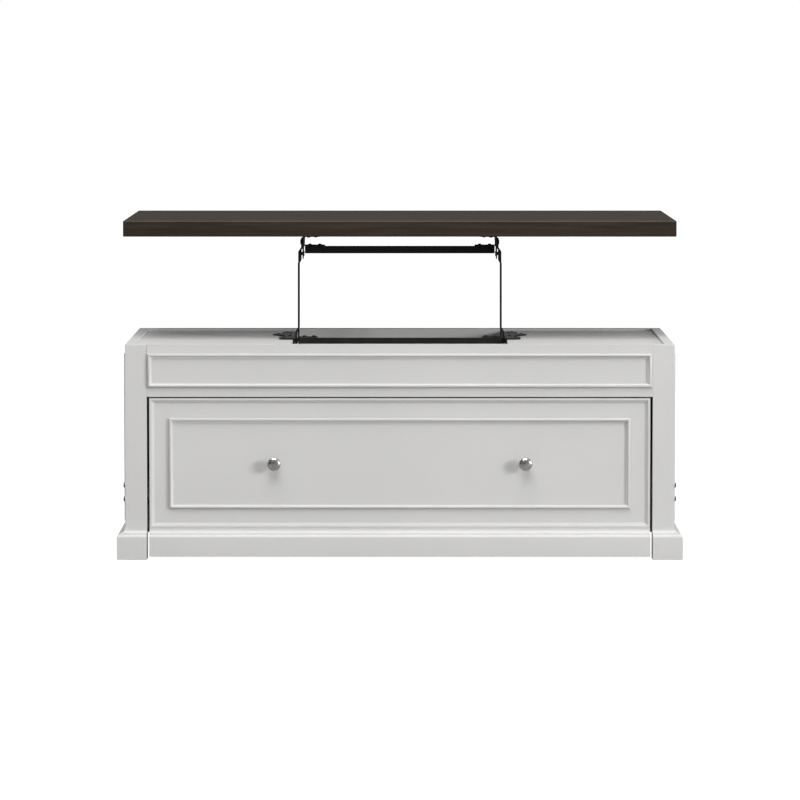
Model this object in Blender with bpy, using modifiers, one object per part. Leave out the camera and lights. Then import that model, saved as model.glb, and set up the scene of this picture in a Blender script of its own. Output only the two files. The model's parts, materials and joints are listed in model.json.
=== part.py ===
"""Lift-top coffee table: a painted cabinet with one wide drawer and a dark top on a spring-assisted
parallelogram lift. Modelled with the top raised and the drawer shut.

X runs across the table, +Y from its drawer side to its back, +Z up, and the floor is z = 0.
The origin is the centre of the whole envelope, at the floor.
"""

import math

import bmesh
import bpy
from mathutils import Matrix, Vector

MM = 0.001
GAP = 0.3 * MM  # between pieces that touch

# Driving dimensions of the cabinet
CABINET_W = 1240 * MM
CABINET_D = 630 * MM
RIM_Z = 486.2 * MM
POST_W = 49.2 * MM
RAIL_T = 28 * MM  # posts, front apron and back panel are this thick
SIDE_T = 22 * MM
PLINTH_OUT = 19 * MM
PLINTH_H = 71 * MM
PLINTH_FLAT = 50 * MM
FOOT_L = 70 * MM
FLOOR_CLEAR = 8 * MM
DECK_DROP = 5.2 * MM
DECK_T = 18 * MM
WELL_HALF = 247 * MM
DIVIDER_T = 16 * MM
WELL_FLOOR_Z = 384 * MM
WELL_FLOOR_T = 15 * MM
APRON_H = 118.2 * MM

# Driving dimensions of the drawer
FRONT_HALF = 565.2 * MM
FRONT_TOP = 365 * MM
FRONT_T = 20 * MM
BOX_HALF = 557.4 * MM
BOX_T = 15 * MM
BOX_LOW = 90 * MM
BOX_TOP = 345 * MM
BOX_END = 560 * MM
DRAWER_BOTTOM_Z = 98 * MM
DRAWER_BOTTOM_T = 8 * MM
SLIDE_Z = 152 * MM
SLIDE_L = 500 * MM
SLIDE_START = 45 * MM
SLIDE_WALL = 1.4 * MM
KNOB_X = 283.7 * MM
KNOB_Z = 216.5 * MM
KNOB_OUT = 22 * MM  # of its tip, before the cabinet's front face
FRONT_STEPS = ((7.0, 0), (1.2, 1.6), (5.2, 1.4), (1.0, 1.2), (3.0, 0.3))  # width and drop, in mm
FIELD_DEPTH = sum(drop for _, drop in FRONT_STEPS) * MM

# Driving dimensions of the top and its lift
TOP_W = 1272 * MM
TOP_D = 662 * MM
TOP_T = 36.6 * MM
ARM_R = 229.5 * MM  # pivot to pivot
ARM_W = 20 * MM
ARM_T = 3.8 * MM
SHEET = 2.8 * MM  # thickness of the brackets' plates
LEAN = math.radians(4)  # how far past upright the raised arms stand
SWING = math.radians(95)  # from raised to shut
PIVOT = Vector((290 * MM, 449 * MM))  # lower front pivot, (depth, height)
PIVOT_STEP = Vector((46 * MM, 25 * MM))  # from each front pivot to the rear one
BASE_X = 245.1 * MM  # mid planes of the plates, from the middle of the table
ARM_LOW_X = 240.3 * MM
ARM_X = 234 * MM
ARM_TOP_X = {"front": 229.2 * MM, "rear": 227.4 * MM}
LID_X = 223.6 * MM
LOW_JOG = (20 * MM, 32 * MM)  # stretch of the arm, from its lower pivot, that steps sideways
TOP_JOG = (206 * MM, 216 * MM)
BAR = 17 * MM
LOWER_BAR = (26 * MM, -22 * MM)  # of its middle, along a front arm and square to it
UPPER_BAR = (72 * MM, -36 * MM)  # of its middle, behind the front pivots and below the top
PIN_R = 4 * MM
PIN_HOLE_R = 4.4 * MM
RIVET_R = 6.2 * MM
RIVET_T = 1.5 * MM

ARM_DIR = Vector((math.sin(LEAN), math.cos(LEAN)))  # along a raised arm, (depth, height)
ARM_BACK = Vector((math.cos(LEAN), -math.sin(LEAN)))  # square to it, towards the back
SHUT_DIR = Vector((math.sin(LEAN - SWING), math.cos(LEAN - SWING)))
TRAVEL = (ARM_DIR - SHUT_DIR) * ARM_R  # of the top, from shut to raised
LID_PIVOT = PIVOT + ARM_DIR * ARM_R
TOP_LOW = RIM_Z + 2 * GAP + TRAVEL.y
TOP_FRONT = (CABINET_D - TOP_D) / 2 + TRAVEL.x
FRONT_Y = -(TOP_FRONT + TOP_D - KNOB_OUT) / 2  # the cabinet's front face, which centres the envelope

HALF_W = CABINET_W / 2
POST_IN = HALF_W - POST_W
SIDE_IN = HALF_W - SIDE_T
DECK_Z = RIM_Z - DECK_DROP
INNER_Y = (RAIL_T + GAP, CABINET_D - RAIL_T - GAP)

PARTS = "lift_top_coffee_table"
CUTTERS = "cutters"
WHITE = ("painted_white", (0.60, 0.60, 0.59), 0.45, 0.0)
DARK = ("dark_wood", (0.035, 0.028, 0.024), 0.5, 0.0)
BOXWOOD = ("drawer_box_wood", (0.55, 0.42, 0.28), 0.6, 0.0)
BLACK = ("black_steel", (0.012, 0.012, 0.012), 0.45, 0.6)
ZINC = ("zinc_steel", (0.55, 0.56, 0.57), 0.35, 1.0)
NICKEL = ("satin_nickel", (0.50, 0.49, 0.46), 0.28, 1.0)


# ---------------------------------------------------------------- scene and materials


def clear_scene():
    for obj in list(bpy.data.objects):
        bpy.data.objects.remove(obj)
    for name in (PARTS, CUTTERS):
        bpy.context.scene.collection.children.link(bpy.data.collections.new(name))


def material(look):
    name, colour, roughness, metallic = look
    made = bpy.data.materials.get(name)
    if made is None:
        made = bpy.data.materials.new(name)
        made.use_nodes = True
        shader = made.node_tree.nodes["Principled BSDF"]
        shader.inputs["Base Color"].default_value = (*colour, 1)
        shader.inputs["Roughness"].default_value = roughness
        shader.inputs["Metallic"].default_value = metallic
        made.diffuse_color = (*colour, 1)
    return made


def at(x, y, z):
    """A point given by its distance behind the cabinet's front face, in the object's frame."""
    return Vector((x, FRONT_Y + y, z))


def add(name, mesh, look):
    obj = bpy.data.objects.new(name, mesh)
    bpy.data.collections[PARTS].objects.link(obj)
    mesh.materials.append(material(look))
    return obj


def mesh_of(name, bm):
    bmesh.ops.recalc_face_normals(bm, faces=bm.faces)
    mesh = bpy.data.meshes.new(name)
    bm.to_mesh(mesh)
    bm.free()
    return mesh


def set_origin(obj, point):
    """Moves the object's origin to a point, such as a joint's axis, and leaves its shape where it is."""
    obj.data.transform(Matrix.Translation(obj.location - point))
    obj.location = point
    return obj


# ---------------------------------------------------------------- shapes


def board(name, x, y, z, look=WHITE):
    """A sawn board between two values on each axis, y measured from the cabinet's front face."""
    low, high = at(x[0], y[0], z[0]), at(x[1], y[1], z[1])
    bm = bmesh.new()
    bmesh.ops.create_cube(bm, size=1)
    bmesh.ops.scale(bm, vec=high - low, verts=bm.verts)
    obj = add(name, mesh_of(name, bm), look)
    obj.location = (low + high) / 2
    return obj


def sweep(name, stations, profile, look, ring=False):
    """A profile carried past stations, each (point, way for a profile's first value, way for its second)."""
    bm = bmesh.new()
    loops = [[bm.verts.new(p + a * u + b * v) for a, b in profile] for p, u, v in stations]
    count = len(profile)
    pairs = zip(loops, loops[1:] + loops[:1]) if ring else zip(loops, loops[1:])
    for one, two in pairs:
        for i in range(count):
            j = (i + 1) % count
            bm.faces.new((one[i], one[j], two[j], two[i]))
    if not ring:
        bm.faces.new(loops[0])
        bm.faces.new(list(reversed(loops[-1])))
    return add(name, mesh_of(name, bm), look)


def plate(name, outline, thickness, look, origin, u, v):
    """A flat sheet of an outline, its values measured from origin along u and v, centred on that plane."""
    curve = bpy.data.curves.new(name, "CURVE")
    curve.dimensions = "2D"
    curve.fill_mode = "BOTH"
    curve.extrude = thickness / 2
    spline = curve.splines.new("POLY")
    spline.points.add(len(outline) - 1)
    spline.use_cyclic_u = True
    for point, (a, b) in zip(spline.points, outline):
        point.co = (a, b, 0, 1)
    shaper = bpy.data.objects.new(name + "_outline", curve)
    bpy.context.scene.collection.objects.link(shaper)
    bpy.context.view_layer.update()
    evaluated = shaper.evaluated_get(bpy.context.evaluated_depsgraph_get())
    bm = bmesh.new()
    raw = bpy.data.meshes.new_from_object(evaluated)
    bm.from_mesh(raw)
    bmesh.ops.remove_doubles(bm, verts=bm.verts, dist=1e-6)
    w = u.cross(v)
    turn = Matrix((u, v, w)).transposed().to_4x4()
    bm.transform(Matrix.Translation(origin) @ turn)
    bpy.data.objects.remove(shaper)
    bpy.data.meshes.remove(raw)
    return add(name, mesh_of(name, bm), look)


def turned(name, profile, steps, look, origin, axis):
    """A turned piece. The profile is (distance along axis, radius), from one end to the other."""
    bm = bmesh.new()
    points = [bm.verts.new((r, 0, -z)) for z, r in profile]
    for one, two in zip(points, points[1:]):
        bm.edges.new((one, two))
    mesh = bpy.data.meshes.new(name)
    bm.to_mesh(mesh)
    bm.free()
    obj = add(name, mesh, look)
    screw = obj.modifiers.new("turn", "SCREW")
    screw.axis = "Z"
    screw.steps = screw.render_steps = steps
    screw.use_merge_vertices = True
    screw.merge_threshold = 1e-5
    screw.use_smooth_shade = True
    obj.location = origin
    obj.rotation_euler = Vector(axis).to_track_quat("-Z", "Y").to_euler()
    return obj


def cutter(name, radius, low, high):
    """A drill along X between two values, at (depth, height)."""
    bm = bmesh.new()
    x0, x1, (y, z) = low, high[0], high[1]
    bmesh.ops.create_cone(
        bm, cap_ends=True, segments=24, radius1=radius, radius2=radius, depth=x1 - x0
    )
    bm.transform(Matrix.Translation(at((x0 + x1) / 2, y, z)) @ Matrix.Rotation(math.pi / 2, 4, "Y"))
    return helper(bpy.data.objects.new(name, mesh_of(name, bm)))


def helper(obj):
    """Files an object with the cutters, out of the render."""
    for collection in obj.users_collection:
        collection.objects.unlink(obj)
    bpy.data.collections[CUTTERS].objects.link(obj)
    obj.hide_render = True
    obj.display_type = "WIRE"
    return obj


def combine(obj, other, operation):
    boolean = obj.modifiers.new(operation.lower(), "BOOLEAN")
    boolean.operation = operation
    boolean.solver = "EXACT"
    boolean.object = other
    return obj


def arc(centre, radius, start, stop, steps=8):
    """Points of an arc on an outline, by degrees."""
    angles = [math.radians(start + (stop - start) * i / steps) for i in range(steps + 1)]
    return [(centre[0] + radius * math.cos(a), centre[1] + radius * math.sin(a)) for a in angles]


X, Y, Z = Vector((1, 0, 0)), Vector((0, 1, 0)), Vector((0, 0, 1))
SIDES = (("left", -1), ("right", 1))


# ---------------------------------------------------------------- mouldings


def plinth_profile(inner, foot_z):
    """(distance out, height) of the plinth: a flat face under an ovolo, a fillet and a cove."""
    top = PLINTH_H
    cove = [(9 * MM - 7 * MM * math.sin(a), top - 11 * MM + 9 * MM * (1 - math.cos(a)))
            for a in (math.radians(d) for d in (0, 30, 60, 90))]
    ovolo = [(11 * MM + 8 * MM * math.cos(a), PLINTH_FLAT + 8 * MM * math.sin(a))
             for a in (math.radians(d) for d in (0, 22, 45, 68, 90))]
    return [(inner, foot_z), (PLINTH_OUT, foot_z), *ovolo, *cove, (inner, top)]


def bead_profile(width):
    """(distance in, height) of an applied bead, rounded on the outside and coved inwards."""
    return [
        (0, GAP),
        (0, 2.6 * MM),
        (0.10 * width, 4.6 * MM),
        (0.26 * width, 5.8 * MM),
        (0.44 * width, 6.0 * MM),
        (0.60 * width, 5.0 * MM),
        (0.70 * width, 3.0 * MM),
        (0.84 * width, 1.9 * MM),
        (width, 1.4 * MM),
        (width, GAP),
    ]


def bead_frame(name, centre, across, up, half_w, half_h, width):
    """A mitred rectangle of bead. across and up are the ways along it, and it stands proud of both."""
    proud = up.cross(across) * -1
    corners = [(-1, -1), (1, -1), (1, 1), (-1, 1)]
    stations = [
        (centre + across * (sx * half_w) + up * (sy * half_h), across * -sx + up * -sy, proud)
        for sx, sy in corners
    ]
    return sweep(name, stations, bead_profile(width), WHITE, ring=True)


# ---------------------------------------------------------------- cabinet


def make_cabinet():
    back = (CABINET_D - RAIL_T, CABINET_D)
    for name, side in SIDES:
        x = sorted((side * POST_IN, side * HALF_W))
        board(f"post_front_{name}", x, (0, RAIL_T), (0, RIM_Z))
        board(f"post_back_{name}", x, back, (0, RIM_Z))
        panel_x = sorted((side * SIDE_IN, side * HALF_W))
        board(f"side_panel_{name}", panel_x, INNER_Y, (FLOOR_CLEAR, RIM_Z))
        deck_x = sorted((side * WELL_HALF, side * (SIDE_IN - GAP)))
        board(f"deck_{name}", deck_x, INNER_Y, (DECK_Z - DECK_T, DECK_Z))
        divider_x = sorted((side * WELL_HALF, side * (WELL_HALF + DIVIDER_T)))
        divider_z = (WELL_FLOOR_Z + GAP, DECK_Z - DECK_T - GAP)
        board(f"divider_{name}", divider_x, INNER_Y, divider_z)
        rail_x = sorted((side * POST_IN, side * (SIDE_IN - GAP)))
        board(f"slide_rail_{name}", rail_x, INNER_Y, (SLIDE_Z - 32 * MM, SLIDE_Z + 32 * MM))
        make_plinth(name, side)
        make_side_bead(name, side)
    between = (-POST_IN + GAP, POST_IN - GAP)
    board("front_apron", between, (0, RAIL_T), (RIM_Z - APRON_H, RIM_Z))
    board("back_panel", between, back, (PLINTH_H, RIM_Z))
    floor_x = (-SIDE_IN + GAP, SIDE_IN - GAP)
    board("well_floor", floor_x, INNER_Y, (WELL_FLOOR_Z - WELL_FLOOR_T, WELL_FLOOR_Z))
    bead_frame("apron_moulding", at(0, 0, 427.7 * MM), X, Z, 568.4 * MM, 37.9 * MM, 10.8 * MM)


def make_plinth(name, side):
    """The two feet, which wrap the posts' corners, and the board between them along the side."""
    out = X * side
    profile = plinth_profile(GAP, 0)
    for end, corner_y, away in (("front", 0, -Y), ("back", CABINET_D, Y)):
        tip_y = corner_y - away.y * (FOOT_L - PLINTH_OUT)
        stations = [
            (at(side * (POST_IN + GAP), corner_y, 0), away, Z),
            (at(side * HALF_W, corner_y, 0), away + out, Z),
            (at(side * HALF_W, tip_y, 0), out, Z),
        ]
        sweep(f"foot_{end}_{name}", stations, profile, WHITE)
    inset = FOOT_L - PLINTH_OUT + GAP
    ends = [(at(side * HALF_W, y, 0), out, Z) for y in (inset, CABINET_D - inset)]
    sweep(f"side_plinth_{name}", ends, plinth_profile(GAP, FLOOR_CLEAR), WHITE)


def make_side_bead(name, side):
    low, high = 74 * MM, 467 * MM
    centre = at(side * HALF_W, CABINET_D / 2, (low + high) / 2)
    half_w = CABINET_D / 2 - 66 * MM
    bead_frame(f"side_moulding_{name}", centre, Y * side, Z, half_w, (high - low) / 2, 10.8 * MM)


# ---------------------------------------------------------------- drawer


def make_drawer():
    make_drawer_front()
    bead_frame("drawer_moulding", at(0, FIELD_DEPTH, 217.2 * MM), X, Z, 520.6 * MM, 102.2 * MM, 10.5 * MM)
    ends = [(at(x, 0, 0), -Y, Z) for x in (-FRONT_HALF, FRONT_HALF)]
    sweep("drawer_base_strip", ends, plinth_profile(-FRONT_T, FLOOR_CLEAR), WHITE)
    inside = BOX_HALF - BOX_T - GAP
    for name, side in SIDES:
        x = sorted((side * (BOX_HALF - BOX_T), side * BOX_HALF))
        y = (FRONT_T + GAP, BOX_END)
        board(f"drawer_side_{name}", x, y, (BOX_LOW, BOX_TOP), BOXWOOD)
    back_z = (DRAWER_BOTTOM_Z + DRAWER_BOTTOM_T + GAP, BOX_TOP - 12 * MM)
    board("drawer_back", (-inside, inside), (BOX_END - BOX_T, BOX_END), back_z, BOXWOOD)
    bottom_z = (DRAWER_BOTTOM_Z, DRAWER_BOTTOM_Z + DRAWER_BOTTOM_T)
    board("drawer_bottom", (-inside, inside), (FRONT_T + GAP, BOX_END), bottom_z, BOXWOOD)
    for name, side in SIDES:
        make_knob(f"knob_{name}", side * KNOB_X)


def make_drawer_front():
    """A board whose face steps down past a flat border, in two slopes, to a sunk field."""
    x, z = (-FRONT_HALF, FRONT_HALF), (PLINTH_H + 0.5 * MM, FRONT_TOP)
    front = board("drawer_front", x, (0, FRONT_T), z)
    bm = bmesh.new()
    bm.from_mesh(front.data)
    face = min(bm.faces, key=lambda f: f.calc_center_median().y)
    for width, drop in FRONT_STEPS:
        bmesh.ops.inset_region(bm, faces=[face], thickness=width * MM, depth=-drop * MM)
    bm.to_mesh(front.data)
    bm.free()


def make_knob(name, x):
    """A round cabinet knob: foot, waist and a flat-domed head, standing on the sunk field."""
    length = KNOB_OUT + FIELD_DEPTH - GAP
    profile = [
        (0, 0), (0, 8.5), (1.6, 9.0), (3.0, 8.2), (4.4, 6.2), (9.2, 5.0), (13.0, 5.8), (15.2, 9.0),
        (16.3, 13.4), (18.0, 15.0), (20.2, 15.2), (22.4, 14.0), (24.2, 11.2), (25.4, 7.2), (26.0, 3.2),
    ]
    lathe = [(z * MM, r * MM) for z, r in profile] + [(length, 0)]
    return turned(name, lathe, 28, NICKEL, at(x, FIELD_DEPTH - GAP, KNOB_Z), -Y)


def make_slides():
    """Three nested channels at each side, from the cabinet's rail in to the drawer."""
    members = (
        ("slide_outer", POST_IN - GAP, POST_IN - 9.5 * MM, 22.5 * MM),
        ("slide_middle", POST_IN - 8.0 * MM, POST_IN - 2.4 * MM, 19.8 * MM),
        ("slide_inner", BOX_HALF + GAP, BOX_HALF + 4.5 * MM, 15 * MM),
    )
    for name, side in SIDES:
        for member, web, lip, half in members:
            inward = SLIDE_WALL * (1 if lip > web else -1)
            outline = [
                (web, -half),
                (lip, -half),
                (lip, -half + SLIDE_WALL),
                (web + inward, -half + SLIDE_WALL),
                (web + inward, half - SLIDE_WALL),
                (lip, half - SLIDE_WALL),
                (lip, half),
                (web, half),
            ]
            ends = [
                (at(0, y, SLIDE_Z), X * side, Z) for y in (SLIDE_START, SLIDE_START + SLIDE_L)
            ]
            sweep(f"{member}_{name}", ends, outline, ZINC)


# ---------------------------------------------------------------- lift


def arm_point(pivot, along, back=0):
    """(depth, height) at a distance along a raised arm from its lower pivot, and square to it."""
    return pivot + ARM_DIR * along + ARM_BACK * back


def make_arm(name, side, pivot, top_x):
    """A steel strip with round ends, stepped sideways near each pivot, and drilled."""
    half = ARM_W / 2
    rows = [
        (0, ARM_LOW_X), (LOW_JOG[0], ARM_LOW_X), (LOW_JOG[1], ARM_X),
        (TOP_JOG[0], ARM_X), (TOP_JOG[1], top_x), (ARM_R, top_x),
    ]

    def corner(bm, along, back, x):
        depth, height = arm_point(pivot, along, back)
        return bm.verts.new(at(side * x, depth, height))

    bm = bmesh.new()
    edges = [(corner(bm, t, -half, x), corner(bm, t, half, x)) for t, x in rows]
    for (a, b), (c, d) in zip(edges, edges[1:]):
        bm.faces.new((a, b, d, c))
    for t, x, turn, (first, last) in ((0, ARM_LOW_X, -1, edges[0]), (ARM_R, top_x, 1, edges[-1])):
        round_end = arc((0, 0), half, 0, 180 * turn, 12)[1:-1]
        rim = [corner(bm, t + along, back, x) for back, along in round_end]
        bm.faces.new([last, *rim, first])
    obj = add(name, mesh_of(name, bm), BLACK)
    skin = obj.modifiers.new("sheet", "SOLIDIFY")
    skin.thickness = ARM_T
    skin.offset = 0
    skin.use_even_offset = True
    for end, t, x in (("low", 0, ARM_LOW_X), ("top", ARM_R, top_x)):
        reach = sorted((side * (x - 6 * MM), side * (x + 6 * MM)))
        hole = cutter(f"{name}_{end}_hole", PIN_HOLE_R, reach[0], (reach[1], arm_point(pivot, t)))
        combine(obj, hole, "DIFFERENCE")
    return obj


def make_arms():
    for name, side in SIDES:
        for which, pivot in (("front", PIVOT), ("rear", PIVOT + PIVOT_STEP)):
            arm = make_arm(f"{which}_arm_{name}", side, pivot, ARM_TOP_X[which])
            if which == "front":
                combine(arm, helper(make_arm_tab(name, side)), "UNION")
            set_origin(arm, at(0, *pivot))
    make_tie_bar("lower_tie_bar", 233.6 * MM, arm_point(PIVOT, *LOWER_BAR), LEAN)


def make_arm_tab(name, side):
    """The ear bent off a front arm, which the lower tie bar is bolted under."""
    low = LOWER_BAR[0] + BAR / 2 + GAP
    x = sorted((side * 190 * MM, side * (ARM_X + SHEET / 2)))
    section = [(low, -31 * MM), (low, -8 * MM), (low + SHEET, -8 * MM), (low + SHEET, -31 * MM)]
    along = Vector((0, *ARM_DIR))
    back = Vector((0, *ARM_BACK))
    ends = [(at(value, *PIVOT), along, back) for value in x]
    return sweep(f"front_arm_{name}_ear", ends, section, BLACK)


def make_tie_bar(name, half_length, middle, tilt):
    """A square tube from side to side."""
    half = BAR / 2
    u = Vector((0, math.cos(tilt), -math.sin(tilt)))
    v = Vector((0, math.sin(tilt), math.cos(tilt)))
    section = [(-half, -half), (half, -half), (half, half), (-half, half)]
    bore = [(0.82 * a, 0.82 * b) for a, b in section]
    bar = sweep(name, [(at(x, *middle), u, v) for x in (-half_length, half_length)], section, BLACK)
    reach = half_length + 5 * MM
    hollow = sweep(f"{name}_bore", [(at(x, *middle), u, v) for x in (-reach, reach)], bore, BLACK)
    return combine(bar, helper(hollow), "DIFFERENCE")


def make_base_brackets():
    """The fixed plates: a flange screwed down on the deck and a leg that hangs in the well."""
    rear = PIVOT + PIVOT_STEP
    top = DECK_Z + GAP + SHEET
    leg = [
        (256 * MM, top), (256 * MM, 468 * MM), *arc(PIVOT, 12 * MM, 200, 325, 6),
        (330 * MM, 452 * MM), (400 * MM, 456 * MM), (512 * MM, 472 * MM), (512 * MM, top),
    ]
    flange = [
        (243.7, 256), (268, 256), (279, 268), (279, 322), (268, 340), (268, 376), (294, 412), (297, 427),
        (292, 440), (268, 452), (268, 470), (276, 480), (276, 502), (270, 512), (243.7, 512),
    ]
    for name, side in SIDES:
        plane = at(side * BASE_X, 0, 0)
        bracket = plate(f"base_bracket_{name}", leg, SHEET, BLACK, plane, Y, Z)
        deck_plane = at(0, 0, top - SHEET / 2)
        shape = [(side * x * MM, y * MM) for x, y in flange]
        wing = plate(f"base_bracket_{name}_flange", shape, SHEET, BLACK, deck_plane, X, Y)
        combine(bracket, helper(wing), "UNION")
        for which, pivot in (("front", PIVOT), ("rear", rear)):
            reach = sorted((side * (BASE_X - 5 * MM), side * (BASE_X + 5 * MM)))
            hole = cutter(f"base_{which}_{name}_hole", PIN_HOLE_R, reach[0], (reach[1], pivot))
            combine(bracket, hole, "DIFFERENCE")


def make_lid_brackets():
    """The plates under the top: a flange against it, a leg that holds the pivots and an ear for the bar."""
    front, rear = LID_PIVOT, LID_PIVOT + PIVOT_STEP
    top = TOP_LOW - GAP
    y0, y1 = front.x - 20 * MM, front.x + 180 * MM
    bar = Vector((front.x + UPPER_BAR[0], TOP_LOW + UPPER_BAR[1]))
    ear_z = bar.y + BAR / 2 + GAP
    leg = [
        (y0, top), (y0, top - 12 * MM), *arc(front, 12.5 * MM, 170, 305, 8),
        (rear.x + 4 * MM, rear.y - 12 * MM), (bar.x + 11 * MM, ear_z), (y1, top - 12 * MM), (y1, top),
    ]
    for name, side in SIDES:
        bracket = plate(f"top_bracket_{name}", leg, SHEET, BLACK, at(side * LID_X, 0, 0), Y, Z)
        flange = [(side * x, y) for x, y in (
            (LID_X + SHEET / 2, y0), (LID_X - 38 * MM, y0 + 8 * MM),
            (LID_X - 38 * MM, y1 - 8 * MM), (LID_X + SHEET / 2, y1),
        )]
        plane = at(0, 0, top - SHEET / 2)
        sheet = plate(f"top_bracket_{name}_flange", flange, SHEET, BLACK, plane, X, Y)
        combine(bracket, helper(sheet), "UNION")
        ear = [(side * x, y) for x, y in (
            (LID_X + SHEET / 2, bar.x - 11 * MM), (LID_X - 49.5 * MM, bar.x - 8 * MM),
            (LID_X - 49.5 * MM, bar.x + 8 * MM), (LID_X + SHEET / 2, bar.x + 11 * MM),
        )]
        ear_plane = at(0, 0, ear_z + SHEET / 2)
        tab = plate(f"top_bracket_{name}_ear", ear, SHEET, BLACK, ear_plane, X, Y)
        combine(bracket, helper(tab), "UNION")
        for which, pivot in (("front", front), ("rear", rear)):
            reach = sorted((side * (LID_X - 5 * MM), side * (LID_X + 5 * MM)))
            hole = cutter(f"top_{which}_{name}_hole", PIN_HOLE_R, reach[0], (reach[1], pivot))
            combine(bracket, hole, "DIFFERENCE")
        set_origin(bracket, at(0, *LID_PIVOT))
    make_tie_bar("upper_tie_bar", 220.8 * MM, bar, 0)


def make_pins():
    """Rivets with a head at one or both ends. The lower front ones carry the springs and are longer."""
    rear = PIVOT + PIVOT_STEP
    lid_rear = LID_PIVOT + PIVOT_STEP
    base_end = BASE_X + SHEET / 2 - 0.2 * MM
    low_head = ARM_LOW_X - ARM_T / 2 - GAP
    spring_head = 225 * MM
    for name, side in SIDES:
        for which, pivot, head in (("front", PIVOT, spring_head), ("rear", rear, low_head)):
            length = base_end - head
            rivet = [
                (-RIVET_T, 0), (-RIVET_T, RIVET_R * 0.8), (-RIVET_T * 0.6, RIVET_R), (0, RIVET_R),
                (0, PIN_R), (length, PIN_R), (length, 0),
            ]
            point = at(side * head, *pivot)
            turned(f"lower_{which}_pin_{name}", rivet, 20, BLACK, point, X * side)
        for which, pivot in (("front", LID_PIVOT), ("rear", lid_rear)):
            head = LID_X - SHEET / 2 - GAP
            length = ARM_TOP_X[which] + ARM_T / 2 + GAP - head
            rivet = [
                (-RIVET_T, 0), (-RIVET_T, RIVET_R * 0.8), (-RIVET_T * 0.6, RIVET_R), (0, RIVET_R),
                (0, PIN_R), (length, PIN_R), (length, RIVET_R), (length + RIVET_T * 0.6, RIVET_R),
                (length + RIVET_T, RIVET_R * 0.8), (length + RIVET_T, 0),
            ]
            point = at(side * head, *pivot)
            turned(f"upper_{which}_pin_{name}", rivet, 20, BLACK, point, X * side)


def make_springs():
    """Torsion springs on the lower front pins, each with a straight tail under the base plate's edge."""
    turns, wire, mean_r, per_turn = 4.5, 2.2 * MM, 6.8 * MM, 12
    start_x, pitch = 226.4 * MM, 2.35 * MM
    for name, side in SIDES:
        points = [(start_x, -14 * MM, -mean_r)]
        for i in range(int(turns * per_turn) + 1):
            angle = 2 * math.pi * i / per_turn - math.pi / 2
            x = start_x + pitch * i / per_turn
            points.append((x, mean_r * math.cos(angle), mean_r * math.sin(angle)))
        curve = bpy.data.curves.new(f"lift_spring_{name}", "CURVE")
        curve.dimensions = "3D"
        curve.bevel_depth = wire / 2
        curve.bevel_resolution = 2
        curve.use_fill_caps = True
        spline = curve.splines.new("POLY")
        spline.points.add(len(points) - 1)
        for point, (x, y, z) in zip(spline.points, points):
            point.co = (side * x, y, z, 1)
        spring = bpy.data.objects.new(curve.name, curve)
        bpy.data.collections[PARTS].objects.link(spring)
        curve.materials.append(material(ZINC))
        spring.location = at(0, *PIVOT)


def make_top():
    x = (-TOP_W / 2, TOP_W / 2)
    y = (TOP_FRONT, TOP_FRONT + TOP_D)
    top = board("top_slab", x, y, (TOP_LOW, TOP_LOW + TOP_T), DARK)
    edge = top.modifiers.new("eased_edges", "BEVEL")
    edge.width = 1.8 * MM
    edge.segments = 2


def main():
    clear_scene()
    make_cabinet()
    make_drawer()
    make_slides()
    make_arms()
    make_base_brackets()
    make_lid_brackets()
    make_pins()
    make_springs()
    make_top()


main()
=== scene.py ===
"""The looks of the lift-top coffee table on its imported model.

It gives the nodes procedural materials, puts finer mouldings and knobs in place of the plain
ones, and adds the screws and bolts and a plain studio. Lengths are in metres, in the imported
model's frame: +X across the table, +Y from its drawer side to its back, +Z up, with the top
raised and the drawer shut.
"""

import json
import math

import bmesh
import bpy
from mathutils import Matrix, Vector


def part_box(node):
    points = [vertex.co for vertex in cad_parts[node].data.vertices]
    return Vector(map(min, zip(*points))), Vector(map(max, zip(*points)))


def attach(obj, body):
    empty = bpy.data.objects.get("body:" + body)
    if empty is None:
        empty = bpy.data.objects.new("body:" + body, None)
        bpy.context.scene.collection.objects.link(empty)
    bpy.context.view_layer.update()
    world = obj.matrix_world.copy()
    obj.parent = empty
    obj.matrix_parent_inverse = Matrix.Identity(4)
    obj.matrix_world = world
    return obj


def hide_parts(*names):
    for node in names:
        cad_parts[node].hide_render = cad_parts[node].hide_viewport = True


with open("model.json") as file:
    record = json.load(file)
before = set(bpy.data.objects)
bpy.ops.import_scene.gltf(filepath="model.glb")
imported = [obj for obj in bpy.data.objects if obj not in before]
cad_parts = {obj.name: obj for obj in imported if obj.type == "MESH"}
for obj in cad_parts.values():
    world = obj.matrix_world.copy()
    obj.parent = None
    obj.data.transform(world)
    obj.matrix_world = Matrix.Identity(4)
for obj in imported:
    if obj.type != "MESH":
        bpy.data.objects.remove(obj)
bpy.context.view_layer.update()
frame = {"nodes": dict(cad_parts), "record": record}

MM = 0.001
X, Y, Z = Vector((1, 0, 0)), Vector((0, 1, 0)), Vector((0, 0, 1))
SIDES = (("left", -1), ("right", 1))
FRONT_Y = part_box("post_front_left")[0].y  # the cabinet's front face
BACK_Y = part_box("post_back_left")[1].y
HALF_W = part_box("post_front_right")[1].x
LEAN = math.radians(4)  # of the raised arms, past upright
ARM_AXIS = Vector((0, math.sin(LEAN), math.cos(LEAN)))  # up along a raised arm

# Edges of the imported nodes
BOARD_EASE = 0.9 * MM
STRIP_EASE = 0.5 * MM
TIE_BAR_EASE = 0.7 * MM

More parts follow.
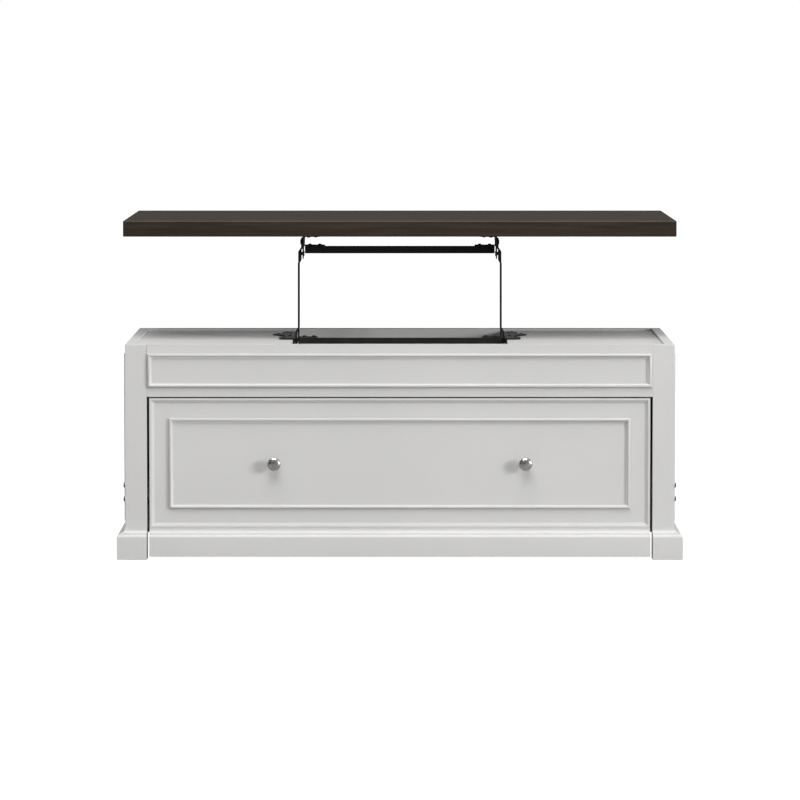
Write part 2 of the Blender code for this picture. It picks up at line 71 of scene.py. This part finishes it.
# Mouldings
PLINTH_FLAT = 50 * MM  # height of the plinth's flat face
OVOLO_OUT, OVOLO_UP = 8 * MM, 7.6 * MM
QUIRK = 0.6 * MM
COVE_OUT, COVE_UP = 8.2 * MM, 9.4 * MM
COVE_DROP = 2.2 * MM  # from the plinth's top to the cove's centre
BACK_GAP = 0.3 * MM  # between a plinth and the post behind it
APRON_BEAD = 10.8 * MM
DRAWER_BEAD = 10.5 * MM
SIDE_BEAD = 10.8 * MM
FRONT_RELIEF = 0.94  # of the front beads' packed height

# Hardware
SHEET = 2.8 * MM  # of a bracket
EAR = 3.1 * MM  # gap and sheet between a tie bar and the heads
TIE_BAR_HALF = 8.5 * MM  # half the lower tie bar's height, along the arms
# Screws in a bracket, each (mm from its inner or outer edge, mm back from its front end)
BASE_SCREWS = ((24, 42), (12, 100), (40, 171), (12, 206), (21, 238))
TOP_SCREWS = ((14, 24), (30, 36), (30, 150), (14, 176))
UPPER_TIE_SCREWS = (209, 186)  # mm from the middle
LOWER_TIE_SCREWS = (220, 198)
# Round heads, each (radius, height)
BASE_SCREW = (4.2 * MM, 1.9 * MM)
TOP_SCREW = (4.4 * MM, 2.6 * MM)
TIE_SCREW = (4.2 * MM, 2.8 * MM)
BOLT_END = (4.6 * MM, 2.2 * MM)
BOLT_UP, BOLT_DOWN = 14 * MM, 17 * MM  # from the slide's middle
BOLT_BACK = 25 * MM  # behind the cabinet's front face
BOLT_END_BACK = 12 * MM

# Camera and studio
CAMERA_DISTANCE = 10.85  # before the cabinet's front face
CAMERA_HEIGHT = 1.1793
CAMERA_PITCH = math.radians(4.313)
CAMERA_SIDE = 0.5 * MM
LENS_MM = 217.1
SENSOR_MM = 36.0
SKY_LIGHT = 0.36  # all round
SKY_SLANT = (0.18, 0.15, 0.0)  # more from the right and the back
FLOOR_TONE = (0.34, 0.34, 0.34)
FLOOR_LIFT = 0.97  # how much the floor glows, to read as white paper
FLOOR_HALF = 150  # metres
CLIP_END = 400
# Lights: place, aim, size in metres and power in watts
OVERHEAD = ((-0.3, -2.68, 5.72), (0, -0.1, 0.4), (4.4, 5.4), 392)
RIGHT_SIDE = ((11.6, -7.6, 3.2), (0, -0.3, 0.35), (3.6, 3.2), 1330)


# ---------------------------------------------------------------- materials


class Shader:
    """A node material built up in a few lines. Its textures follow the piece's own coordinates."""

    def __init__(self, name, roughness, metallic=0.0, specular=0.5):
        self.material = bpy.data.materials.new(name)
        self.material.use_nodes = True
        self.tree = self.material.node_tree
        self.principled = self.tree.nodes["Principled BSDF"]
        self.principled.inputs["Roughness"].default_value = roughness
        self.principled.inputs["Metallic"].default_value = metallic
        self.principled.inputs["Specular IOR Level"].default_value = specular
        self.coordinates = self.tree.nodes.new("ShaderNodeTexCoord").outputs["Object"]

    def link(self, out, into):
        self.tree.links.new(out, into)
        return self

    def noise(self, scale, stretch=(1, 1, 1), detail=4.0, distortion=0.0):
        """A noise texture's value, with stretch as the scale along each axis."""
        mapping = self.tree.nodes.new("ShaderNodeMapping")
        mapping.inputs["Scale"].default_value = stretch
        self.link(self.coordinates, mapping.inputs["Vector"])
        texture = self.tree.nodes.new("ShaderNodeTexNoise")
        texture.inputs["Scale"].default_value = scale
        texture.inputs["Detail"].default_value = detail
        texture.inputs["Distortion"].default_value = distortion
        self.link(mapping.outputs["Vector"], texture.inputs["Vector"])
        return texture.outputs["Fac"]

    def ramp(self, value, stops):
        """A colour for a value, from (position, colour) stops."""
        node = self.tree.nodes.new("ShaderNodeValToRGB")
        elements = node.color_ramp.elements
        while len(elements) < len(stops):
            elements.new(0.5)
        for element, (position, colour) in zip(elements, stops):
            element.position = position
            element.color = (*colour, 1)
        self.link(value, node.inputs["Fac"])
        return node.outputs["Color"]

    def mix(self, factor, one, two):
        """Two colours mixed by a number, or by another node's value."""
        node = self.tree.nodes.new("ShaderNodeMix")
        node.data_type = "RGBA"
        if isinstance(factor, float):
            node.inputs["Factor"].default_value = factor
        else:
            self.link(factor, node.inputs["Factor"])
        self.link(one, node.inputs["A"])
        self.link(two, node.inputs["B"])
        return node.outputs["Result"]

    def spread(self, value, low, high, from_low=0.3, from_high=0.7):
        """A value brought from the noise's usual range to another one."""
        node = self.tree.nodes.new("ShaderNodeMapRange")
        node.inputs["From Min"].default_value = from_low
        node.inputs["From Max"].default_value = from_high
        node.inputs["To Min"].default_value = low
        node.inputs["To Max"].default_value = high
        self.link(value, node.inputs["Value"])
        return node.outputs["Result"]

    def upper_edge_highlight_mask(self):
        """Mask of the painted highlight on upper eased edges: 1 where a face leans halfway between
        upright and level, facing up, and 0 elsewhere.
        """
        split = self.tree.nodes.new("ShaderNodeSeparateXYZ")
        normal = self.tree.nodes.new("ShaderNodeTexCoord").outputs["Normal"]
        self.link(normal, split.inputs["Vector"])
        rest = self.tree.nodes.new("ShaderNodeMath")
        rest.operation = "SUBTRACT"
        rest.inputs[0].default_value = 1.0
        self.link(split.outputs["Z"], rest.inputs[1])
        product = self.tree.nodes.new("ShaderNodeMath")
        product.operation = "MULTIPLY"
        self.link(split.outputs["Z"], product.inputs[0])
        self.link(rest.outputs["Value"], product.inputs[1])
        return self.spread(product.outputs["Value"], 0.0, 1.0, 0.03, 0.15)

    def colour(self, out):
        return self.link(out, self.principled.inputs["Base Color"])

    def rough(self, out):
        return self.link(out, self.principled.inputs["Roughness"])

    def bump(self, height, distance, strength=1.0):
        node = self.tree.nodes.new("ShaderNodeBump")
        node.inputs["Distance"].default_value = distance
        node.inputs["Strength"].default_value = strength
        self.link(height, node.inputs["Height"])
        return self.link(node.outputs["Normal"], self.principled.inputs["Normal"])


def painted_wood():
    """Sprayed satin paint: an even warm grey-white, with faint clouding and a fine orange-peel."""
    s = Shader("painted_wood", 0.5, specular=0.32)
    clouds = s.noise(3.0, detail=3.0)
    flecks = s.noise(420.0, detail=2.0)
    low, high = (0.536, 0.533, 0.525), (0.580, 0.576, 0.567)
    tone = s.ramp(clouds, ((0.25, low), (0.75, high)))
    s.colour(s.mix(0.22, tone, s.ramp(flecks, ((0.3, low), (0.7, high)))))
    s.rough(s.spread(s.noise(38.0, detail=3.0), 0.42, 0.58))
    s.bump(s.noise(900.0, detail=2.0), 0.00006, 0.6)
    return s.material


def grained_wood(name, along, tones, roughness, specular, figure, pore_depth, edge_highlight_tones=()):
    """Wood grained along an axis: broad figure, narrow streaks, and fine pores that dent it. Given
    edge tones, it also paints a highlight: lighter tones on the upper eased edges, where light
    catches them.
    """
    s = Shader(name, roughness, specular=specular)
    lengthways = {"X": (1, 24, 24), "Y": (24, 1, 24)}[along]
    pores_along = {"X": (1, 70, 70), "Y": (70, 1, 70)}[along]
    broad = s.noise(figure, lengthways, detail=6.0, distortion=0.7)
    streaks = s.noise(figure * 4, lengthways, detail=8.0, distortion=0.3)
    pores = s.noise(12.0, pores_along, detail=5.0)
    dark, middle, light = tones
    figure_tone = s.ramp(broad, ((0.30, dark), (0.52, middle), (0.72, light)))
    streak_tone = s.ramp(streaks, ((0.34, dark), (0.66, light)))
    pore_tone = s.ramp(pores, ((0.30, dark), (0.48, light)))
    grain = s.mix(0.30, s.mix(0.45, figure_tone, streak_tone), pore_tone)
    # Painted highlight: lighter tones on the upward-facing eased edges, standing in for the light
    # that these edges catch.
    if edge_highlight_tones:
        edge = s.ramp(streaks, ((0.3, edge_highlight_tones[0]), (0.7, edge_highlight_tones[1])))
        grain = s.mix(s.upper_edge_highlight_mask(), grain, edge)
    s.colour(grain)
    s.rough(s.spread(streaks, roughness - 0.07, roughness + 0.09))
    s.bump(pores, pore_depth, 0.8)
    return s.material


def black_steel():
    """Powder-coated sheet: near black, with a fine leathery texture."""
    s = Shader("black_steel", 0.46, specular=0.2)
    dark, light = (0.006, 0.006, 0.006), (0.011, 0.011, 0.011)
    s.colour(s.ramp(s.noise(60.0, detail=4.0), ((0.3, dark), (0.7, light))))
    s.rough(s.spread(s.noise(240.0, detail=3.0), 0.38, 0.56))
    s.bump(s.noise(1600.0, detail=2.0), 0.00006)
    return s.material


def plated_steel(name, dark, light, roughness, stretch, bump):
    """Bare metal with a plated or satin finish, brushed along the axes with a low stretch."""
    s = Shader(name, roughness, metallic=1.0)
    s.colour(s.ramp(s.noise(70.0, stretch, detail=6.0), ((0.3, dark), (0.7, light))))
    s.rough(s.spread(s.noise(300.0, stretch, detail=4.0), roughness - 0.06, roughness + 0.10))
    s.bump(s.noise(900.0, stretch, detail=3.0), bump)
    return s.material


PAINT = painted_wood()
TOP_TONES = ((0.0180, 0.0135, 0.0105), (0.0290, 0.0220, 0.0168), (0.0450, 0.0345, 0.0265))
# Painted highlight: lighter tones for the top's upper eased edges, where light catches them.
TOP_EDGE_HIGHLIGHT = ((0.085, 0.073, 0.064), (0.115, 0.100, 0.088))
TOP_WOOD = grained_wood("dark_wood", "X", TOP_TONES, 0.55, 0.02, 1.6, 0.00018, TOP_EDGE_HIGHLIGHT)
BOX_TONES = ((0.42, 0.30, 0.18), (0.56, 0.43, 0.28), (0.66, 0.54, 0.38))
BOX_WOOD = grained_wood("drawer_wood", "Y", BOX_TONES, 0.5, 0.35, 1.3, 0.00010)
BOX_WOOD_ACROSS = grained_wood("drawer_wood_across", "X", BOX_TONES, 0.5, 0.35, 1.3, 0.00010)
BLACK = black_steel()
ZINC = plated_steel(
    "zinc_steel", (0.42, 0.43, 0.45), (0.66, 0.67, 0.69), 0.32, (1, 0.1, 1), 0.00002
)
NICKEL = plated_steel(
    "satin_nickel", (0.40, 0.39, 0.365), (0.54, 0.525, 0.495), 0.24, (1, 0.3, 1), 0.00001
)
LOOKS = {
    "painted_wood": PAINT,
    "dark_wood": TOP_WOOD,
    "drawer_wood": BOX_WOOD,
    "black_steel": BLACK,
    "zinc_steel": ZINC,
    "satin_nickel": NICKEL,
}


# ---------------------------------------------------------------- pieces


def piece(name, bm, body, slot_name, smooth_deg=35.0, stands_for=()):
    """A new piece made of a bmesh, riding on a body and painted as one of the record's slots."""
    bmesh.ops.recalc_face_normals(bm, faces=bm.faces)
    mesh = bpy.data.meshes.new(name)
    bm.to_mesh(mesh)
    bm.free()
    mesh.shade_smooth()
    mesh.set_sharp_from_angle(angle=math.radians(smooth_deg))
    mesh.materials.append(LOOKS[slot_name])
    obj = bpy.data.objects.new(name, mesh)
    bpy.context.scene.collection.objects.link(obj)
    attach(obj, body)
    if stands_for:
        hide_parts(*stands_for)


def sweep(bm, stations, profile, ring=False):
    """A closed profile carried past stations: (point, way of its first value, way of its second)."""
    loops = [[bm.verts.new(p + u * a + v * b) for a, b in profile] for p, u, v in stations]
    pairs = list(zip(loops, loops[1:]))
    if ring:
        pairs.append((loops[-1], loops[0]))
    count = len(profile)
    for one, two in pairs:
        for i in range(count):
            j = (i + 1) % count
            bm.faces.new((one[i], one[j], two[j], two[i]))
    if not ring:
        bm.faces.new(loops[0])
        bm.faces.new(loops[-1][::-1])


def arc(centre, radii, start, stop, steps):
    """Points along an ellipse's arc, by degrees."""
    angles = [math.radians(start + (stop - start) * i / steps) for i in range(steps + 1)]
    (x, y), (rx, ry) = centre, radii
    return [(x + rx * math.cos(a), y + ry * math.sin(a)) for a in angles]


def smooth_curve(points, steps):
    """Points of a Catmull-Rom curve through the given ones, which keeps their ends."""
    padded = [points[0], *points, points[-1]]
    out = []
    for p0, p1, p2, p3 in zip(padded, padded[1:], padded[2:], padded[3:]):
        for i in range(steps):
            t = i / steps
            out.append(tuple(
                0.5 * (
                    2 * b + (c - a) * t + (2 * a - 5 * b + 4 * c - d) * t ** 2
                    + (3 * b - a - 3 * c + d) * t ** 3
                )
                for a, b, c, d in zip(p0, p1, p2, p3)
            ))
    return [*out, points[-1]]


def lathe(bm, origin, axis, profile, steps):
    """A turned solid about an axis, from a profile of (distance along the axis, radius)."""
    turn = axis.to_track_quat("Z", "Y").to_matrix()
    rings = []
    for z, r in profile:
        if r < 1e-7:
            rings.append([bm.verts.new(origin + turn @ Vector((0, 0, z)))])
            continue
        angles = [2 * math.pi * i / steps for i in range(steps)]
        places = [Vector((r * math.cos(a), r * math.sin(a), z)) for a in angles]
        rings.append([bm.verts.new(origin + turn @ place) for place in places])
    for one, two in zip(rings, rings[1:]):
        for i in range(steps):
            j = (i + 1) % steps
            corners = [one[i % len(one)], one[j % len(one)], two[j % len(two)], two[i % len(two)]]
            bm.faces.new(list(dict.fromkeys(corners)))


def dress_nodes():
    """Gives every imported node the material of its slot."""
    for entry in frame["record"]["subparts"]:
        node = frame["nodes"][entry["node"]]
        look = BOX_WOOD_ACROSS if entry["node"] == "drawer_back" else LOOKS[entry["material_slot"]]
        if not node.material_slots:
            node.data.materials.append(look)
        for slot in node.material_slots:
            slot.material = look


def ease(names, width):
    """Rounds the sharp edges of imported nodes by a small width, inside their own shape."""
    for name in names:
        node = frame["nodes"][name]
        weld = node.modifiers.new("weld", "WELD")
        weld.merge_threshold = 0.00001
        bevel = node.modifiers.new("eased_edges", "BEVEL")
        bevel.width = width
        bevel.segments = 2
        bevel.limit_method = "ANGLE"
        bevel.angle_limit = math.radians(30)
        bevel.harden_normals = False


# ---------------------------------------------------------------- mouldings


def plinth_profile(height, out, foot, inner):
    """(distance out, height) of the plinth: a flat face, an ovolo, a quirk, a fillet and a cove."""
    ledge = out - OVOLO_OUT
    ovolo = arc((ledge, PLINTH_FLAT), (OVOLO_OUT, OVOLO_UP), 0, 90, 10)
    cove = arc((ledge - QUIRK, height - COVE_DROP), (COVE_OUT, COVE_UP), 270, 180, 10)
    return [
        (inner, foot), (out - QUIRK, foot), (out, foot + QUIRK), *ovolo,
        (ledge - QUIRK, PLINTH_FLAT + OVOLO_UP), *cove, (cove[-1][0], height), (inner, height),
    ]


def make_plinths():
    """The feet, the boards between them along the sides, and the strip on the drawer."""
    for name, side in SIDES:
        for end, away in (("front", -1), ("back", 1)):
            node = f"foot_{end}_{name}"
            low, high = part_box(node)
            corner = Vector((side * HALF_W, FRONT_Y if away < 0 else BACK_Y, 0))
            out = abs(high.x if side > 0 else low.x) - HALF_W
            inner_x = low.x if side > 0 else high.x
            tip_y = high.y if away < 0 else low.y
            profile = plinth_profile(high.z, out, low.z, BACK_GAP)
            bm = bmesh.new()
            sweep(bm, [
                (Vector((inner_x, corner.y, 0)), Y * away, Z),
                (corner, Y * away + X * side, Z),
                (Vector((corner.x, tip_y, 0)), X * side, Z),
            ], profile)
            piece(f"moulded_{node}", bm, "base", "painted_wood", stands_for=[node])
        node = f"side_plinth_{name}"
        low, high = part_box(node)
        out = abs(high.x if side > 0 else low.x) - HALF_W
        bm = bmesh.new()
        ends = [(Vector((side * HALF_W, y, 0)), X * side, Z) for y in (low.y, high.y)]
        sweep(bm, ends, plinth_profile(high.z, out, low.z, BACK_GAP))
        piece(f"moulded_{node}", bm, "base", "painted_wood", stands_for=[node])
    low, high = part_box("drawer_base_strip")
    bm = bmesh.new()
    ends = [(Vector((x, FRONT_Y, 0)), -Y, Z) for x in (low.x, high.x)]
    sweep(bm, ends, plinth_profile(high.z, FRONT_Y - low.y, low.z, FRONT_Y - high.y))
    piece(
        "moulded_drawer_base_strip", bm, "drawer", "painted_wood", stands_for=["drawer_base_strip"]
    )


def bead_profile(width, height):
    """(distance in, height) of an applied bead: a rounded outer edge and a cove that runs inwards."""
    nose = arc((0.26 * width, 0.45 * height), (0.26 * width, 0.55 * height), 180, 90, 6)
    crown = arc((0.40 * width, 0.80 * height), (0.10 * width, 0.20 * height), 90, 20, 4)
    cove = arc((width, 0.66 * height), (0.40 * width, 0.42 * height), 192, 266, 7)
    base = 0.05 * height
    return [(0, base), *nose, *crown, *cove, (width, 0.22 * height), (width, base)]


def make_bead(node, normal, across, up, width, body, relief=1.0, outward=False):
    """A mitred rectangle of bead the size of its node, facing along normal.

    outward turns its cove outwards.
    """
    low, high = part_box(node)
    centre = (low + high) / 2
    size = high - low
    half_w, half_h = abs(size.dot(across)) / 2, abs(size.dot(up)) / 2
    height = abs(size.dot(normal))
    base = centre - normal * (height / 2)
    profile = bead_profile(width, height * relief)
    if outward:
        profile = [(width - inwards, rise) for inwards, rise in reversed(profile)]
    corners = ((-1, -1), (1, -1), (1, 1), (-1, 1))
    stations = [
        (base + across * (sx * half_w) + up * (sy * half_h), across * -sx + up * -sy, normal)
        for sx, sy in corners
    ]
    bm = bmesh.new()
    sweep(bm, stations, profile, ring=True)
    piece(f"fine_{node}", bm, body, "painted_wood", stands_for=[node])


def make_mouldings():
    """The applied beads of the apron, the drawer and the cabinet's sides."""
    make_bead("apron_moulding", -Y, X, Z, APRON_BEAD, "base", FRONT_RELIEF)
    make_bead("drawer_moulding", -Y, X, Z, DRAWER_BEAD, "drawer", FRONT_RELIEF)
    for name, side in SIDES:
        make_bead(f"side_moulding_{name}", X * side, Y, Z, SIDE_BEAD, "base", outward=True)


# ---------------------------------------------------------------- hardware


def make_knobs():
    """Satin nickel knobs: a foot ring, a waist and a low-domed head with a rolled rim."""
    for name, _ in SIDES:
        node = f"knob_{name}"
        low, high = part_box(node)
        length = high.y - low.y
        head = (high.x - low.x) / 2
        outline = [
            (0, 0.58 * head), (0.07 * length, 0.60 * head), (0.12 * length, 0.53 * head),
            (0.18 * length, 0.40 * head), (0.34 * length, 0.33 * head),
            (0.50 * length, 0.38 * head), (0.58 * length, 0.60 * head),
            (0.62 * length, 0.88 * head), (0.68 * length, 0.985 * head),
            (0.76 * length, head * 0.995), (0.84 * length, 0.93 * head),
            (0.91 * length, 0.76 * head), (0.96 * length, 0.50 * head),
            (0.99 * length, 0.22 * head), (length, 0),
        ]
        bm = bmesh.new()
        foot = Vector(((low.x + high.x) / 2, high.y, (low.z + high.z) / 2))
        lathe(bm, foot, -Y, [(0, 0), *smooth_curve(outline, 5)], 64)
        piece(f"turned_{node}", bm, "drawer", "satin_nickel", 50.0, stands_for=[node])


def screw(bm, point, axis, head_r, head_h):
    """A low round head with a socket, standing on a surface at a point."""
    socket = head_r * 0.42
    dome = arc((0, 0.25 * head_h), (head_r, 0.75 * head_h), 0, 58, 6)
    floor = 0.35 * head_h  # of the socket
    lathe(bm, point, axis, [
        (0, 0), (0, head_r), *[(z, r) for r, z in dome], (dome[-1][1], socket),
        (floor, socket * 0.9), (floor, 0),
    ], 24)


def make_bracket_screws():
    """Screws that hold the brackets: down into the decks, and up into the top."""
    for name, side in SIDES:
        low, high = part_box(f"base_bracket_{name}")
        bm = bmesh.new()
        inner_x = min(abs(low.x), abs(high.x))
        for x, y in BASE_SCREWS:
            point = Vector((side * (inner_x + x * MM), low.y + y * MM, high.z))
            screw(bm, point, Z, *BASE_SCREW)
        piece(f"base_bracket_screws_{name}", bm, "base", "black_steel")
        low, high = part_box(f"top_bracket_{name}")
        outer_x = max(abs(low.x), abs(high.x))
        bm = bmesh.new()
        for x, y in TOP_SCREWS:
            point = Vector((side * (outer_x - x * MM), low.y + y * MM, high.z - SHEET))
            screw(bm, point, -Z, *TOP_SCREW)
        piece(f"top_bracket_screws_{name}", bm, "top", "black_steel")


def make_tie_bar_screws():
    """The pairs of screws through the ears that each tie bar hangs from."""
    low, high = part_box("upper_tie_bar")
    upper = Vector((0, (low.y + high.y) / 2, high.z + EAR))
    low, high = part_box("lower_tie_bar")
    middle = Vector((0, (low.y + high.y) / 2, (low.z + high.z) / 2))
    lower = middle + ARM_AXIS * (TIE_BAR_HALF + EAR)
    for name, side in SIDES:
        for which, point, axis, places, body in (
            ("upper", upper, Z, UPPER_TIE_SCREWS, "top"),
            ("lower", lower, ARM_AXIS, LOWER_TIE_SCREWS, "front_arms"),
        ):
            bm = bmesh.new()
            for x in places:
                screw(bm, point + X * (side * x * MM), axis, *TIE_SCREW)
            piece(f"{which}_tie_bar_screws_{name}", bm, body, "black_steel")


def make_slide_bolts():
    """The bolts through the front posts that hold each slide.

    Each has a head on a washer outside and an end inside.
    """
    slide_mid = sum((corner.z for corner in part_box("slide_outer_left")), 0) / 2
    for name, side in SIDES:
        post_in = min(abs(corner.x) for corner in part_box(f"post_front_{name}"))
        washers, heads, ends = bmesh.new(), bmesh.new(), bmesh.new()
        for z in (slide_mid + BOLT_UP, slide_mid - BOLT_DOWN):
            outside = Vector((side * (HALF_W + 0.1 * MM), FRONT_Y + BOLT_BACK, z))
            lathe(washers, outside, X * side, [
                (0, 0), (0, 6.0 * MM), (2.1 * MM, 6.0 * MM), (2.5 * MM, 5.6 * MM), (2.5 * MM, 0),
            ], 32)
            lathe(heads, outside + X * side * 2.6 * MM, X * side, [
                (0, 0), (0, 5.4 * MM), (0.4 * MM, 5.7 * MM), (2.0 * MM, 5.7 * MM),
                (2.5 * MM, 5.1 * MM), (2.5 * MM, 2.6 * MM), (1.1 * MM, 2.5 * MM), (1.1 * MM, 0),
            ], 32)
            inside = Vector((side * (post_in - 0.2 * MM), FRONT_Y + BOLT_END_BACK, z))
            screw(ends, inside, X * -side, *BOLT_END)
        piece(f"slide_bolt_washers_{name}", washers, "base", "zinc_steel")
        piece(f"slide_bolts_{name}", heads, "base", "black_steel")
        piece(f"slide_bolt_ends_{name}", ends, "base", "black_steel")


# ---------------------------------------------------------------- studio


def area_light(name, place, target, size, power):
    """A rectangular white light at a place, aimed at a target."""
    light = bpy.data.lights.new(name, "AREA")
    light.shape = "RECTANGLE"
    light.size, light.size_y = size
    light.energy = power
    obj = bpy.data.objects.new(name, light)
    obj.location = place
    obj.rotation_euler = (Vector(target) - Vector(place)).to_track_quat("-Z", "Y").to_euler()
    bpy.context.scene.collection.objects.link(obj)


def make_studio():
    """A white sky, a big soft light overhead, and a low one to the right that shapes the edges."""
    world = bpy.data.worlds.new("studio")
    world.use_nodes = True
    bpy.context.scene.world = world
    tree = world.node_tree
    sky = tree.nodes["Background"]
    sky.inputs["Color"].default_value = (1, 1, 1, 1)
    direction = tree.nodes.new("ShaderNodeTexCoord").outputs["Generated"]
    slant = tree.nodes.new("ShaderNodeVectorMath")
    slant.operation = "DOT_PRODUCT"
    slant.inputs[1].default_value = SKY_SLANT
    tree.links.new(direction, slant.inputs[0])
    strength = tree.nodes.new("ShaderNodeMath")
    strength.operation = "ADD"
    strength.inputs[1].default_value = SKY_LIGHT
    tree.links.new(slant.outputs["Value"], strength.inputs[0])
    tree.links.new(strength.outputs["Value"], sky.inputs["Strength"])
    seen = tree.nodes.new("ShaderNodeBackground")
    seen.inputs["Color"].default_value = (1, 1, 1, 1)
    choose = tree.nodes.new("ShaderNodeMixShader")
    path = tree.nodes.new("ShaderNodeLightPath")
    tree.links.new(path.outputs["Is Camera Ray"], choose.inputs["Fac"])
    tree.links.new(sky.outputs["Background"], choose.inputs[1])
    tree.links.new(seen.outputs["Background"], choose.inputs[2])
    tree.links.new(choose.outputs["Shader"], tree.nodes["World Output"].inputs["Surface"])
    area_light("overhead", *OVERHEAD)
    area_light("right_side", *RIGHT_SIDE)


def make_floor():
    """A matt sheet that glows for the camera alone, so that it reads as white."""
    bm = bmesh.new()
    bmesh.ops.create_grid(bm, x_segments=8, y_segments=8, size=FLOOR_HALF)
    mesh = bpy.data.meshes.new("floor")
    bm.to_mesh(mesh)
    bm.free()
    floor = bpy.data.objects.new("floor", mesh)
    bpy.context.scene.collection.objects.link(floor)
    material = bpy.data.materials.new("white_sheet")
    material.use_nodes = True
    tree = material.node_tree
    shader = tree.nodes["Principled BSDF"]
    shader.inputs["Base Color"].default_value = (*FLOOR_TONE, 1)
    shader.inputs["Roughness"].default_value = 1.0
    shader.inputs["Specular IOR Level"].default_value = 0.0
    glow = tree.nodes.new("ShaderNodeEmission")
    path = tree.nodes.new("ShaderNodeLightPath")
    scale = tree.nodes.new("ShaderNodeMath")
    scale.operation = "MULTIPLY"
    scale.inputs[1].default_value = FLOOR_LIFT
    both = tree.nodes.new("ShaderNodeAddShader")
    tree.links.new(path.outputs["Is Camera Ray"], scale.inputs[0])
    tree.links.new(scale.outputs["Value"], glow.inputs["Strength"])
    tree.links.new(shader.outputs["BSDF"], both.inputs[0])
    tree.links.new(glow.outputs["Emission"], both.inputs[1])
    tree.links.new(both.outputs["Shader"], tree.nodes["Material Output"].inputs["Surface"])
    mesh.materials.append(material)


def make_camera():
    """The photo's view: square on, a little above the table, pitched down and not shifted."""
    camera = bpy.data.cameras.new("camera")
    camera.lens = LENS_MM
    camera.sensor_width = SENSOR_MM
    camera.clip_end = CLIP_END
    obj = bpy.data.objects.new("camera", camera)
    obj.location = (CAMERA_SIDE, FRONT_Y - CAMERA_DISTANCE, CAMERA_HEIGHT)
    obj.rotation_euler = (math.pi / 2 - CAMERA_PITCH, 0, 0)
    bpy.context.scene.collection.objects.link(obj)
    bpy.context.scene.camera = obj


def both_sides(*parts):
    """The nodes of these parts, left and right."""
    return [f"{part}_{side}" for side, _ in SIDES for part in parts]


def ease_nodes():
    """Eases the boards, the lift's strips and brackets, and the tie bars."""
    ease([
        *both_sides(
            "post_front", "post_back", "side_panel", "divider", "slide_rail", "drawer_side"
        ),
        "front_apron", "back_panel", "well_floor", "drawer_back", "drawer_bottom",
    ], BOARD_EASE)
    ease(both_sides("base_bracket", "top_bracket", "front_arm", "rear_arm"), STRIP_EASE)
    ease(["upper_tie_bar", "lower_tie_bar"], TIE_BAR_EASE)


make_camera()
dress_nodes()
ease_nodes()
make_plinths()
make_mouldings()
make_knobs()
make_bracket_screws()
make_tie_bar_screws()
make_slide_bolts()
make_studio()
make_floor()
bpy.context.scene.view_settings.view_transform = "Standard"
